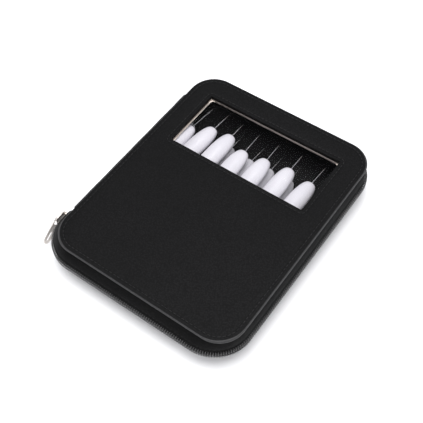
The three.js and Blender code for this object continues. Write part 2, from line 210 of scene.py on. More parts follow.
def cloth_material(name, dark, light, thread, roughness=0.9):
    mat, nodes, links, shader = new_material(name)
    vector = object_coords(nodes, links)
    heights = []
    for direction in ("X", "Y"):
        wave = nodes.new("ShaderNodeTexWave")
        wave.bands_direction = direction
        wave.inputs["Scale"].default_value = 1 / thread / 6.283
        wave.inputs["Distortion"].default_value = 0.6
        links.new(vector, wave.inputs["Vector"])
        heights.append(wave.outputs["Fac"])
    both = nodes.new("ShaderNodeMath")
    both.operation = "MULTIPLY"
    links.new(heights[0], both.inputs[0])
    links.new(heights[1], both.inputs[1])
    mottle = noise(nodes, links, vector, 240, 3)
    links.new(ramp(nodes, links, mottle, [(0.35, dark), (0.7, light)]), shader.inputs["Base Color"])
    shader.inputs["Roughness"].default_value = roughness
    shader.inputs["Specular IOR Level"].default_value = 0.2
    links.new(bump(nodes, links, both.outputs[0], 0.12 * MM, 0.8), shader.inputs["Normal"])
    return mat


def metal_material(name, dark, light, roughness, streaks=(400, 400, 60)):
    mat, nodes, links, shader = new_material(name)
    vector = object_coords(nodes, links, streaks)
    brushed = noise(nodes, links, vector, 6, 4)
    shader.inputs["Metallic"].default_value = 1.0
    links.new(ramp(nodes, links, brushed, [(0.3, dark), (0.7, light)]), shader.inputs["Base Color"])
    links.new(spread(nodes, links, brushed, roughness - 0.06, roughness + 0.1), shader.inputs["Roughness"])
    links.new(bump(nodes, links, brushed, 0.01 * MM, 0.4), shader.inputs["Normal"])
    return mat


def plastic_material(name, dark, light, roughness, texture=0.006 * MM, coat=0.0, specular=0.5):
    mat, nodes, links, shader = new_material(name)
    vector = object_coords(nodes, links)
    haze = noise(nodes, links, vector, 60, 3)
    grain = noise(nodes, links, vector, 1800, 2)
    links.new(ramp(nodes, links, haze, [(0.3, dark), (0.7, light)]), shader.inputs["Base Color"])
    links.new(spread(nodes, links, haze, roughness - 0.04, roughness + 0.06), shader.inputs["Roughness"])
    links.new(bump(nodes, links, grain, texture, 0.5), shader.inputs["Normal"])
    shader.inputs["Coat Weight"].default_value = coat
    shader.inputs["Specular IOR Level"].default_value = specular
    return mat


def film_material():
    mat, nodes, links, shader = new_material("clear_film")
    vector = object_coords(nodes, links)
    ripple = noise(nodes, links, vector, 30, 2)
    smear = noise(nodes, links, vector, 90, 4)
    shader.inputs["Base Color"].default_value = (0.02, 0.02, 0.022, 1)
    links.new(spread(nodes, links, smear, 0.06, 0.16), shader.inputs["Roughness"])
    shader.inputs["Alpha"].default_value = 0.03
    links.new(bump(nodes, links, ripple, 0.3 * MM, 0.3), shader.inputs["Normal"])
    return mat


def floor_material():
    mat, nodes, links, shader = new_material("floor_white")
    vector = object_coords(nodes, links)
    cloud = noise(nodes, links, vector, 3, 2)
    stops = [(0.0, (0.93, 0.93, 0.94)), (1.0, (0.95, 0.95, 0.955))]
    links.new(ramp(nodes, links, cloud, stops), shader.inputs["Base Color"])
    shader.inputs["Roughness"].default_value = 0.85
    shader.inputs["Specular IOR Level"].default_value = 0.1
    return mat


leather = leather_material("black_leather", (0.0018, 0.0018, 0.0020), (0.0062, 0.0061, 0.0066), 0.52, 0.09)
# The gusset's leather is the black leather made darker still: painted shade under the overhang of the cover's
# edge.
shaded_gusset_leather = leather_material(
    "shaded_gusset_leather", (0.0008, 0.0008, 0.0009), (0.0030, 0.0030, 0.0032), 0.55, 0.07)
# The edge's leather: glossier edge paint, and a much lighter colour that paints the thin highlight the
# cover's turned edge catches.
edge_paint_and_highlight = leather_material(
    "edge_paint_and_highlight", (0.020, 0.020, 0.021), (0.036, 0.035, 0.036), 0.42, 0.3, 0.5)
lining_cloth = cloth_material(
    "lining_cloth", (0.0008, 0.0008, 0.001), (0.0022, 0.0022, 0.0025), 0.5 * MM)
tape_cloth = cloth_material("zip_tape_cloth", (0.002, 0.002, 0.0024), (0.005, 0.005, 0.0054), 0.6 * MM)
elastic_cloth = cloth_material("elastic_cloth", (0.004, 0.004, 0.0045), (0.009, 0.009, 0.0095), 0.7 * MM)
thread = cloth_material("stitch_thread", (0.009, 0.009, 0.0095), (0.019, 0.0185, 0.019), 0.3 * MM, 0.6)
coil_plastic = plastic_material(
    "zip_coil_plastic", (0.030, 0.0295, 0.030), (0.044, 0.0435, 0.044), 0.16, specular=0.6)
zip_metal = metal_material("zip_metal", (0.62, 0.58, 0.54), (0.80, 0.76, 0.72), 0.36)
rim_metal = metal_material("rim_metal", (0.46, 0.40, 0.36), (0.66, 0.60, 0.55), 0.32, (60, 400, 400))
needle_steel = metal_material(
    "needle_steel", (0.40, 0.40, 0.42), (0.62, 0.62, 0.64), 0.22, (500, 60, 500))
handle_white = plastic_material(
    "handle_white", (0.58, 0.565, 0.61), (0.625, 0.61, 0.65), 0.34, 0.004 * MM, 0.1)
clear_film = film_material()


# ---- mesh helpers ----
def piece(name, verts, faces, mat, body, replaces=(), sharp=40):
    mesh = bpy.data.meshes.new(name)
    mesh.from_pydata([tuple(v) for v in verts], [], faces)
    shape = bmesh.new()
    shape.from_mesh(mesh)
    bmesh.ops.recalc_face_normals(shape, faces=shape.faces)
    shape.to_mesh(mesh)
    shape.free()
    return finish_piece(name, mesh, mat, body, replaces, sharp)


def finish_piece(name, mesh, mat, body, replaces=(), sharp=40):
    if mat:
        mesh.materials.append(mat)
    mesh.shade_smooth()
    mesh.set_sharp_from_angle(angle=math.radians(sharp))
    obj = bpy.data.objects.new(name, mesh)
    bpy.context.collection.objects.link(obj)
    if body:
        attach(obj, body)
    if replaces:
        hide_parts(*replaces)
    return obj


def sweep(rings, closed_path=False, closed_section=True, caps=True):
    """Quads between equal rings of points."""
    count = len(rings[0])
    verts = [p for ring in rings for p in ring]
    faces = []
    last = len(rings) if closed_path else len(rings) - 1
    across = count if closed_section else count - 1
    for i in range(last):
        a, b = i * count, ((i + 1) % len(rings)) * count
        for c in range(across):
            d = (c + 1) % count
            faces.append((a + c, b + c, b + d, a + d))
    if caps and not closed_path:
        faces.append(tuple(range(count)))
        faces.append(tuple(range(len(verts) - 1, len(verts) - count - 1, -1)))
    return verts, faces


def mirror_z(verts):
    return [(v[0], v[1], case_top - v[2]) for v in verts]


class Station:
    """A point of an outline, with the outward direction there."""

    def __init__(self, x, y, nx, ny):
        self.x, self.y, self.nx, self.ny = x, y, nx, ny

    def out(self, distance, z):
        return (self.x + self.nx * distance, self.y + self.ny * distance, z)


def straight(stations, x, y, nx, ny, steps):
    """Adds steps stations from the last one to x, y; the end itself comes with the next arc."""
    last = stations[-1]
    for i in range(1, steps):
        t = i / steps
        stations.append(Station(last.x + (x - last.x) * t, last.y + (y - last.y) * t, nx, ny))


def arc(stations, cx, cy, r, start, steps):
    for i in range(steps + 1):
        a = start + math.pi / 2 * i / steps
        stations.append(Station(cx + r * math.cos(a), cy + r * math.sin(a), math.cos(a), math.sin(a)))


def zip_outline(left_near, left_far, right, near, far, corners, arc_steps=18):
    """From the near end of the spine side round the three zipped sides. Every outline has equal counts."""
    nl, nr, fr, fl = corners
    line = [Station(left_near, ZIP_START_Y, -1, 0)]
    straight(line, left_near, near + nl, -1, 0, 3)
    arc(line, left_near + nl, near + nl, nl, math.pi, arc_steps)
    straight(line, right - nr, near, 0, -1, 24)
    arc(line, right - nr, near + nr, nr, -math.pi / 2, arc_steps)
    straight(line, right, far - fr, 1, 0, 30)
    arc(line, right - fr, far - fr, fr, 0, arc_steps)
    straight(line, left_far + fl, far, 0, 1, 24)
    arc(line, left_far + fl, far - fl, fl, math.pi / 2, arc_steps)
    straight(line, left_far, ZIP_END_Y, -1, 0, 3)
    line.append(Station(left_far, ZIP_END_Y, -1, 0))
    return line


def rounded_rect(left, right, near, far, r, arc_steps=14, side_steps=16):
    """A closed outline, anticlockwise, with equal counts whatever its size."""
    line = []
    corners = [
        (right - r, near + r, -math.pi / 2, (1, 0), (right, far - r)),
        (right - r, far - r, 0, (0, 1), (left + r, far)),
        (left + r, far - r, math.pi / 2, (-1, 0), (left, near + r)),
        (left + r, near + r, math.pi, (0, -1), (right - r, near)),
    ]
    for cx, cy, start, (nx, ny), (ex, ey) in corners:
        arc(line, cx, cy, r, start, arc_steps)
        straight(line, ex, ey, nx, ny, side_steps)
    return line


def inset_rect(low, high, inset, r):
    """The outline of a box's plan, drawn in by inset."""
    return rounded_rect(low.x + inset, high.x - inset, low.y + inset, high.y - inset, r)


def walk(stations, pitch, closed=False, start=0.0, stop=0.0):
    """Stations a pitch apart along an outline, with the distance of each from its start."""
    points = stations + stations[:1] if closed else stations
    lengths = [0.0]
    for a, b in zip(points, points[1:]):
        lengths.append(lengths[-1] + math.hypot(b.x - a.x, b.y - a.y))
    total = lengths[-1]
    count = max(1, round((total - start - stop) / pitch))
    step = (total - start - stop) / count
    i, found = 0, []
    for k in range(count + (0 if closed else 1)):
        s = start + step * k
        while i < len(lengths) - 2 and lengths[i + 1] < s:
            i += 1
        a, b = points[i], points[i + 1]
        t = (s - lengths[i]) / max(lengths[i + 1] - lengths[i], 1e-9)
        nx, ny = a.nx + (b.nx - a.nx) * t, a.ny + (b.ny - a.ny) * t
        size = math.hypot(nx, ny)
        found.append((Station(a.x + (b.x - a.x) * t, a.y + (b.y - a.y) * t, nx / size, ny / size), s))
    return found


# ---- covers ----
def cover_profile(under, top, lip):
    """Inset, height and corner swell of each ring, from the underside round to the flat of the face."""
    thick = top - under
    rings = [(lip, under, 0), (1.6 * MM, under, 0), (0.9 * MM, under + 0.15 * MM, 0)]
    rings += [(0.35 * MM, under + 0.5 * MM, 0)]
    rings += [(0.06 * MM, under + thick * 0.38, 0), (-0.1 * MM, under + thick * 0.52, 0)]
    rings += [(-0.12 * MM, top - 1.2 * MM, 0), (0.0, top - 0.8 * MM, 0.2 * MM)]
    rings += [(0.25 * MM, top - 0.48 * MM, 0.8 * MM)]
    rings += [(0.65 * MM, top - 0.3 * MM, 1.6 * MM), (1.05 * MM, top - 0.27 * MM, 1.8 * MM)]
    rings += [(1.9 * MM, top - 0.24 * MM, 1.5 * MM), (2.9 * MM, top - 0.16 * MM, 1.0 * MM)]
    rings += [(3.3 * MM, top - 0.2 * MM, 0.6 * MM), (3.6 * MM, top - 0.3 * MM, 0.5 * MM)]
    rings += [(3.9 * MM, top - 0.16 * MM, 0.4 * MM), (4.6 * MM, top - 0.03 * MM, 0.2 * MM)]
    rings += [(7.0 * MM, top, 0)]
    return rings


# The rings of that profile, from the swell of the edge to its rounding, that wear the edge's leather: a
# glossier edge paint, and a lighter colour that is a painted highlight along the turned edge.
EDGE_HIGHLIGHT_RINGS = range(5, 9)


def board(low, high, profile, flip=False, hole=None, corner=COVER_R, edge_highlight_rings=()):
    """A leather-covered board: rings round its edge, filled flat between them and round a hole."""
    shape = bmesh.new()

    def ring(stations, z):
        z = case_top - z if flip else z
        return [shape.verts.new(s.out(0, z)) for s in stations]

    def skin(rings, edges=()):
        for k, (a, b) in enumerate(zip(rings, rings[1:])):
            for i in range(len(a)):
                j = (i + 1) % len(a)
                # Faces of the rings listed for the edge take the second material, whose lighter colour paints
                # the edge's highlight.
                shape.faces.new((a[i], a[j], b[j], b[i])).material_index = int(k in edges)

    outer = []
    for inset, z, swell in profile:
        line = inset_rect(low, high, inset, corner - inset + swell)
        outer.append(ring(line, z))
    skin(outer, edge_highlight_rings)
    if hole:
        left, right, near, far, hole_profile = hole
        inner = []
        for grow, z in hole_profile:
            line = rounded_rect(left - grow, right + grow, near - grow, far + grow, 0.4 * MM + grow, 6, 10)
            inner.append(ring(line, z))
        skin(inner)
        for outside, inside in ((outer[0], inner[0]), (outer[-1], inner[-1])):
            edges = []
            for loop in (outside, inside):
                for i in range(len(loop)):
                    edges.append(shape.edges.get((loop[i], loop[(i + 1) % len(loop)])))
            bmesh.ops.triangle_fill(shape, use_beauty=True, use_dissolve=False, edges=edges)
    else:
        for loop in (outer[0], outer[-1]):
            shape.faces.new(loop)
    bmesh.ops.recalc_face_normals(shape, faces=shape.faces)
    mesh = bpy.data.meshes.new("board")
    shape.to_mesh(mesh)
    shape.free()
    return mesh


def stitches(name, stations, z, tilt, body, closed=True,
             pitch=STITCH_PITCH, length=STITCH_LENGTH, radius=STITCH_RADIUS):
    """A run of separate thread stitches, each a slim bead that dips into the leather at its ends."""
    verts, faces = [], []
    sides = 6
    # Place along the stitch, share of the radius, and lift in radii, from end to end.
    bead = ((-0.5, 0.35, -0.9), (-0.34, 0.9, 0.1), (0, 1, 0.35), (0.34, 0.9, 0.1), (0.5, 0.35, -0.9))
    for station, _ in walk(stations, pitch, closed):
        along = Vector((-station.ny, station.nx, 0))
        facing = {"up": (0, 0, 1), "down": (0, 0, -1), "out": (station.nx, station.ny, 0)}
        normal = Vector(facing[tilt])
        side = normal.cross(along)
        base = len(verts)
        for k, (t, r, lift) in enumerate(bead):
            centre = Vector((station.x, station.y, z)) + along * (t * length) + normal * (lift * radius)
            for c in range(sides):
                a = math.tau * c / sides
                verts.append(centre + (side * math.cos(a) + normal * math.sin(a)) * (r * radius))
            if k:
                a, b = base + (k - 1) * sides, base + k * sides
                faces += [(a + c, b + c, b + (c + 1) % sides, a + (c + 1) % sides) for c in range(sides)]
        faces.append(tuple(base + c for c in range(sides)))
        faces.append(tuple(base + 4 * sides + c for c in reversed(range(sides))))
    return piece(name, verts, faces, thread, body)


def window_profile(under, top):
    """Growth of the window outline and height of each ring, from the underside up the wall to the face."""
    return [
        (5.0 * MM, under), (0.5 * MM, under), (0.1 * MM, under + 0.3 * MM), (0.0, top - 0.7 * MM),
        (0.05 * MM, top - 0.3 * MM), (0.25 * MM, top - 0.04 * MM), (0.6 * MM, top),
        (1.6 * MM, top - 0.05 * MM),
        (2.6 * MM, top - 0.1 * MM), (3.1 * MM, top - 0.24 * MM), (3.6 * MM, top - 0.08 * MM), (5.6 * MM, top),
    ]


# The leather's own edge of the window stands back from the CAD's on the left, right and far sides.
look_left, look_right = window_left - 1.0 * MM, window_right + 0.4 * MM
look_near, look_far = window_near, window_far + 0.5 * MM

def make_covers():
    lip = 8 * MM
    profile = cover_profile(cover_low.z, cover_high.z, lip)
    hole = (look_left, look_right, look_near, look_far, window_profile(cover_low.z, cover_high.z))
    mesh = board(cover_low, cover_high, profile, hole=hole, edge_highlight_rings=EDGE_HIGHLIGHT_RINGS)
    mesh.materials.append(leather)
    mesh.materials.append(edge_paint_and_highlight)
    finish_piece("front_cover_leather", mesh, None, "front_half", ["front_cover"], 60)
    profile = cover_profile(case_top - back_high.z, case_top, lip)
    mesh = board(back_low, back_high, profile, flip=True, corner=BACK_CORNER, edge_highlight_rings=EDGE_HIGHLIGHT_RINGS)
    mesh.materials.append(leather)
    mesh.materials.append(edge_paint_and_highlight)
    finish_piece("back_cover_leather", mesh, None, "back_half", ["back_cover"], 60)
    inset, groove = STITCH_INSET, 0.24 * MM
    line = inset_rect(cover_low, cover_high, inset, COVER_R - inset + 0.5 * MM)
    stitches("front_edge_stitches", line, cover_high.z - groove, "up", "front_half")
    line = inset_rect(back_low, back_high, inset, BACK_CORNER - inset + 0.5 * MM)
    stitches("back_edge_stitches", line, groove, "down", "back_half")
    grow = WINDOW_STITCH
    line = rounded_rect(
        look_left - grow, look_right + grow, look_near - grow, look_far + grow, 3.5 * MM, 6, 10)
    stitches("window_stitches", line, cover_high.z - 0.18 * MM, "up", "front_half")


# ---- linings ----
def make_linings():
    edge, reach, hole_reach = 0.25 * MM, 6 * MM, 3 * MM
    for row, body, corner in (("back", "back_half", BACK_CORNER), ("front", "front_half", COVER_R)):
        low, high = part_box(row + "_lining")
        flip = row == "back"
        under, top = (case_top - high.z, case_top - low.z) if flip else (low.z, high.z)
        rings = [(reach, under, 0), (edge, under, 0), (0, under + edge, 0)]
        rings += [(0, top - edge, 0), (edge, top, 0), (reach, top, 0)]
        hole = None
        if not flip:
            grow = RIM_WIDTH + LINING_GAP
            hole_rings = [(grow + hole_reach, under), (grow + edge, under), (grow, under + edge)]
            hole_rings += [(grow, top - edge), (grow + edge, top), (grow + hole_reach, top)]
            hole = (window_left, window_right, window_near, window_far, hole_rings)
        mesh = board(low, high, rings, flip, hole, corner=corner - LINING_INSET)
        finish_piece(row + "_lining_cloth", mesh, lining_cloth, body, [row + "_lining"], 60)


# ---- window ----
def make_window():
    # The strip lies under the cover's edge and turns up along the foot of the window's walls.
    foot = film_high.z + 0.12 * MM
    rings = []
    for grow, z in ((RIM_WIDTH, foot), (RIM_WIDTH, rim_high.z), (0.0, rim_high.z)):
        line = rounded_rect(
            window_left - grow, window_right + grow, window_near - grow, window_far + grow, 3 * MM, 6, 10)
        rings.append([s.out(0, z) for s in line])
    # Shift of the left, right, near and far sides in millimetres, and height, up the outside and down again.
    for (left, right, near, far), z in (
        ((0.0, 0.0, 0.0, 0.0), rim_high.z + 0.15 * MM),
        ((-1.3, 0.2, 0.0, 0.35), 28.4 * MM),
        ((-1.3, 0.2, 0.0, 0.4), 28.9 * MM),
        ((-1.25, 0.1, -0.1, 0.3), 29.15 * MM),
        ((-1.2, -0.2, -0.3, 0.1), 29.15 * MM),
        ((-1.1, -0.35, -0.4, -0.05), 28.9 * MM),
        ((-0.8, -0.4, -0.4, -0.1), foot),
    ):
        line = rounded_rect(window_left + left * MM, window_right + right * MM, window_near + near * MM,
                            window_far + far * MM, 0.5 * MM, 6, 10)
        rings.append([s.out(0, z) for s in line])
    verts, faces = sweep(rings, closed_path=True)
    piece("window_rim_strip", verts, faces, rim_metal, "front_half", ["window_rim"])
    line = rounded_rect(film_low.x, film_high.x, film_low.y, film_high.y, 3 * MM, 6, 10)
    rings = []
    inset, step = 0.1 * MM, 0.05 * MM
    heights = ((inset, film_low.z), (0, film_low.z + step), (0, film_high.z - step), (inset, film_high.z))
    for inset, z in heights:
        rings.append([s.out(-inset, z) for s in line])
    verts, faces = sweep(rings)
    piece("window_film_sheet", verts, faces, clear_film, "front_half", ["window_film"])


# ---- zip-around walls ----
zip_edges = dict(
    left_near=coil_low.x, left_far=stop_low.x, right=coil_high.x, near=coil_low.y, far=coil_high.y)


def board_edges(low, high):
    return dict(left_near=low.x, left_far=low.x, right=high.x, near=low.y, far=high.y)


def make_gusset(row, body, flip):
    zip_path = zip_outline(corners=ZIP_CORNERS, **zip_edges)
    edges, r = (board_edges(back_low, back_high), BACK_CORNER) if flip else (
        board_edges(cover_low, cover_high), COVER_R)
    cover_path = zip_outline(corners=(r,) * 4, **edges)
    high, low = gusset_high.z, gusset_low.z
    steps = 12
    rings = []
    for i, (top, bottom) in enumerate(zip(cover_path, zip_path)):
        outer, inner = [], []
        for k in range(steps + 1):
            share = k / steps
            belly = math.sin(math.pi * share)
            bulge = GUSSET_BULGE * belly
            ripple = 0.12 * MM * math.sin(i * 0.9 + 3 * share) * math.sin(i * 0.37) * belly
            seam = -0.35 * MM * math.exp(-((share - SEAM_SHARE) / 0.035) ** 2)
            hem = 0.15 * MM * math.exp(-((share - 0.93) / 0.06) ** 2)
            a = top.out(-GUSSET_TUCK, 0)
            b = bottom.out(-GUSSET_SETBACK, 0)
            grow = bulge + ripple + seam + hem
            x = a[0] + (b[0] - a[0]) * share + bottom.nx * grow
            y = a[1] + (b[1] - a[1]) * share + bottom.ny * grow
            z = high + (low - high) * share
            outer.append((x, y, z))
            inner.append((x - bottom.nx * GUSSET_THICK, y - bottom.ny * GUSSET_THICK, z))
        rings.append(outer + inner[::-1])
    verts, faces = sweep(rings)
    if flip:
        verts = mirror_z(verts)
    piece(row + "_shaded_gusset_leather", verts, faces, shaded_gusset_leather, body, [row + "_gusset"], 50)
    seam_line = []
    grow = GUSSET_BULGE * math.sin(math.pi * SEAM_SHARE) - 0.3 * MM
    for top, bottom in zip(cover_path, zip_path):
        a, b = top.out(-GUSSET_TUCK, 0), bottom.out(-GUSSET_SETBACK, 0)
        x = a[0] + (b[0] - a[0]) * SEAM_SHARE + bottom.nx * grow
        y = a[1] + (b[1] - a[1]) * SEAM_SHARE + bottom.ny * grow
        seam_line.append(Station(x, y, bottom.nx, bottom.ny))
    z = high + (low - high) * SEAM_SHARE
    stitches(row + "_gusset_stitches", seam_line, case_top - z if flip else z, "out", body,
             closed=False, pitch=3.0 * MM, length=2.2 * MM, radius=0.22 * MM)


def make_tape(row, body, flip):
    path = zip_outline(corners=ZIP_CORNERS, **zip_edges)
    depth = 2.5 * MM
    rings = []
    for s in path:
        outer, inner = [], []
        steps = 8
        for k in range(steps + 1):
            z = tape_low.z + (tape_high.z - tape_low.z) * k / steps
            rib = 0.06 * MM * math.cos(k * math.pi)
            outer.append(s.out(-depth + rib, z))
            inner.append(s.out(-depth - 0.6 * MM, z))
        rings.append(outer + inner[::-1])
    verts, faces = sweep(rings)
    if flip:
        verts = mirror_z(verts)
    piece(row + "_zip_tape_cloth", verts, faces, tape_cloth, body, [row + "_zip_tape"])


def make_coil(row, body, flip):
    """One bent loop of filament per tooth, a pitch apart, half a pitch out of step with the other half."""
    path = zip_outline(corners=ZIP_CORNERS, **zip_edges)
    radius = FILAMENT_R
    slider_end = slider_low.y - SLIDER_CLEAR
    height = coil_high.z - coil_low.z
    # Depth from the outer face and share of the height, round one loop of the filament.
    loop = [(2.1, 0.80), (1.1, 0.90), (radius / MM, 0.80), (radius / MM * 0.95, 0.45)]
    loop += [(radius / MM * 1.05, 0.18), (1.1, 0.06), (1.8, 0.12)]
    verts, faces = [], []
    sides = 6
    for station, _ in walk(path, TOOTH_PITCH, start=0.5 * TOOTH_PITCH if flip else 0.0):
        on_left = station.x < coil_low.x + 0.4 * MM
        by_slider = on_left and slider_end < station.y < 0
        near_slider = station.x < 0 and slider_end < station.y < -50 * MM
        by_stop = station.x < -60 * MM and 0 < station.y < stop_high.y
        if by_slider or near_slider or by_stop:
            continue
        along = Vector((-station.ny, station.nx, 0))
        centres = []
        for deep, share in loop:
            lean = (share - 0.5) * 0.5 * MM
            x, y, z = station.out(-deep * MM, coil_low.z + height * share)
            centres.append(Vector((x, y, z)) + along * lean)
        base = len(verts)
        for k, centre in enumerate(centres):
            ahead = (centres[min(k + 1, len(centres) - 1)] - centres[max(k - 1, 0)]).normalized()
            side = ahead.cross(along).normalized()
            fat = 1.12 if k in (3, 4) else 1.0
            for c in range(sides):
                a = math.tau * c / sides
                verts.append(centre + (along * math.cos(a) + side * math.sin(a)) * (radius * fat))
            if k:
                a, b = base + (k - 1) * sides, base + k * sides
                faces += [(a + c, b + c, b + (c + 1) % sides, a + (c + 1) % sides) for c in range(sides)]
        faces.append(tuple(base + c for c in range(sides)))
        faces.append(tuple(base + (len(centres) - 1) * sides + c for c in reversed(range(sides))))
    if flip:
        verts = mirror_z(verts)
    name = row + "_zip_coil"
    piece(name + "_loops", verts, faces, coil_plastic, body, [name], 60)


def rounded_box(low, high, edge, segments=3):
    shape = bmesh.new()
    bmesh.ops.create_cube(shape, size=1)
    for v in shape.verts:
        v.co = Vector([low[i] if v.co[i] < 0 else high[i] for i in range(3)])
    bmesh.ops.bevel(shape, geom=shape.edges[:], offset=edge, segments=segments, affect="EDGES", profile=0.5)
    mesh = bpy.data.meshes.new("rounded_box")
    shape.to_mesh(mesh)
    shape.free()
    return mesh


def join_meshes(meshes):
    shape = bmesh.new()
    for mesh in meshes:
        shape.from_mesh(mesh)
    joined = bpy.data.meshes.new("joined")
    shape.to_mesh(joined)
    shape.free()
    return joined


def make_stops():
    for row, body in (("upper", "front_half"), ("lower", "back_half")):
        name = row + "_far_stop"
        clip = rounded_box(*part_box(name), 0.35 * MM)
        finish_piece(name + "_clip", clip, zip_metal, body, [name], 60)


# ---- spine ----
def make_spine():
    """The spine's leather, bowed a little, from the back cover's edge to the front cover's."""
    columns, rows = 44, 18
    low_z, high_z = SPINE_FOOT, case_top - 3.9 * MM
    outer_x, thick = spine_low.x, spine_high.x - spine_low.x
    rings = []
    for j in range(columns + 1):
        y = spine_low.y + (spine_high.y - spine_low.y) * j / columns
        outer, inner = [], []
        for k in range(rows + 1):
            share = k / rows
            z = low_z + (high_z - low_z) * share
            fold = 0.5 - abs(share - 0.5)
            crease = 0.3 * MM * (math.exp(-((fold - 0.07) / 0.03) ** 2))
            ripple = 0.1 * MM * math.sin(j * 0.55) * math.sin(math.pi * share)
            outer.append((outer_x + crease + ripple, y, z))
            inner.append((outer_x + thick, y, z))
        rings.append(outer + inner[::-1])
    verts, faces = sweep(rings)
    spine = piece("spine_leather", verts, faces, leather, None, ["spine_panel"], 50)
    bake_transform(spine)


def make_hem():
    """The folded leather along the front cover's spine edge, flush with the spine and just above it."""
    foot, crown, tuck = case_top - 3.7 * MM, case_top - 1.3 * MM, 0.3 * MM
    outer, inner = spine_low.x, cover_low.x + tuck
    soft = 0.5 * MM
    section = [(inner, foot), (outer + soft, foot), (outer, foot + soft), (outer + 0.1 * MM, foot + 0.8 * MM)]
    section += [(outer + 0.6 * MM, foot + 1.4 * MM), (outer + 1.5 * MM, crown - 0.3 * MM), (inner, crown)]
    rings = []
    columns = 44
    for j in range(columns + 1):
        y = spine_low.y + (spine_high.y - spine_low.y) * j / columns
        ripple = 0.06 * MM * math.sin(j * 0.7)
        rings.append([(x + (ripple if x < inner else 0), y, z) for x, z in section])
    verts, faces = sweep(rings)
    piece("front_hem_leather", verts, faces, leather, "front_half")


# ---- slider and pull ----
def flat_plate(outline, holes, thick, edge):
    """A plate with rounded edges from outlines given as lists of points, centred on z 0."""
    data = bpy.data.curves.new("plate", "CURVE")
    data.dimensions = "2D"
    data.fill_mode = "BOTH"
    data.extrude = thick / 2 - edge
    data.bevel_depth = edge
    data.bevel_resolution = 3
    data.offset = -edge
    for points in [outline] + holes:
        spline = data.splines.new("POLY")
        spline.points.add(len(points) - 1)
        for point, (x, y) in zip(spline.points, points):
            point.co = (x, y, 0, 1)
        spline.use_cyclic_u = True
    obj = bpy.data.objects.new("plate", data)
    bpy.context.collection.objects.link(obj)
    bpy.context.view_layer.update()
    mesh = bpy.data.meshes.new_from_object(obj.evaluated_get(bpy.context.evaluated_depsgraph_get()))
    bpy.data.objects.remove(obj)
    shape = bmesh.new()
    shape.from_mesh(mesh)
    bmesh.ops.remove_doubles(shape, verts=shape.verts, dist=0.002 * MM)
    bmesh.ops.recalc_face_normals(shape, faces=shape.faces)
    shape.to_mesh(mesh)
    shape.free()
    return mesh


def circle_points(cx, cy, r, start, end, steps):
    angles = [start + (end - start) * i / steps for i in range(steps + 1)]
    return [(cx + r * math.cos(a), cy + r * math.sin(a)) for a in angles]


def long_slot(low, straight_run, r, steps):
    """A slot with round ends, its lower end centred on x 0, y low."""
    foot = circle_points(0, low, r, math.pi, math.tau, steps)
    return foot + circle_points(0, low + straight_run, r, 0, math.pi, steps)


def make_slider():
    plate_out, plate_in = slider_low.x + 2.2 * MM, slider_low.x + 3.3 * MM
    near, far = slider_low.y, slider_high.y
    half = (slider_high.z - slider_low.z) / 2
    outline = [(near + 0.6 * MM, -half + 1.2 * MM), (near + 2 * MM, -half + 0.2 * MM), (far - 4 * MM, -half)]
    outline += [(far - 1.5 * MM, -half + 0.5 * MM), (far - 0.2 * MM, -half + 2 * MM), (far, 0)]
    outline += [(x, -y) for x, y in reversed(outline[:-1])]
    plate = flat_plate(outline, [], plate_in - plate_out, 0.3 * MM)
    # The plate's own x, y, z become the row's Y, Z, X.
    middle = (plate_out + plate_in) / 2
    plate.transform(Matrix(((0, 0, 1, middle), (1, 0, 0, 0), (0, 1, 0, mid_z), (0, 0, 0, 1))))
    neck_low = (plate_in - 0.2 * MM, far - 2 * MM, mid_z - 2 * MM)
    neck = rounded_box(neck_low, (slider_high.x, far, mid_z + 2 * MM), 0.4 * MM)
    bridge_near, bridge_far = near + 1.4 * MM, far - 1.4 * MM
    # Centre line of the bridge in Y and X: up from the plate, along, and down again.
    line = []
    foot, top, bend = plate_out + 0.3 * MM, slider_low.x + 0.35 * MM, 1.3 * MM
    near_leg, far_leg = bridge_near + 0.6 * MM, bridge_far - 0.6 * MM
    turns = [i * math.pi / 16 for i in range(9)]
    line.append((near_leg, foot))
    line += [(near_leg + bend - bend * math.cos(a), top + bend - bend * math.sin(a)) for a in turns]
    line += [(far_leg - bend + bend * math.sin(a), top + bend - bend * math.cos(a)) for a in turns]
    line.append((far_leg, foot))
    rings = []
    for i, (y, x) in enumerate(line):
        before, after = line[max(i - 1, 0)], line[min(i + 1, len(line) - 1)]
        ty, tx = after[0] - before[0], after[1] - before[1]
        size = math.hypot(ty, tx)
        ny, nx = -tx / size, ty / size
        ring = []
        for c in range(12):
            a = math.tau * c / 12
            across = 0.9 * MM * math.copysign(abs(math.cos(a)) ** 0.6, math.cos(a))
            deep = 0.34 * MM * math.copysign(abs(math.sin(a)) ** 0.6, math.sin(a))
            ring.append((x + nx * deep, y + ny * deep, mid_z + across))
        rings.append(ring)
    verts, faces = sweep(rings)
    bridge = bpy.data.meshes.new("bridge")
    bridge.from_pydata(verts, [], faces)
    mesh = join_meshes([plate, neck, bridge])
    shape = bmesh.new()
    shape.from_mesh(mesh)
    bmesh.ops.recalc_face_normals(shape, faces=shape.faces)
    shape.to_mesh(mesh)
    shape.free()
    finish_piece("slider_metal", mesh, zip_metal, "slider", ["slider_body"], 50)


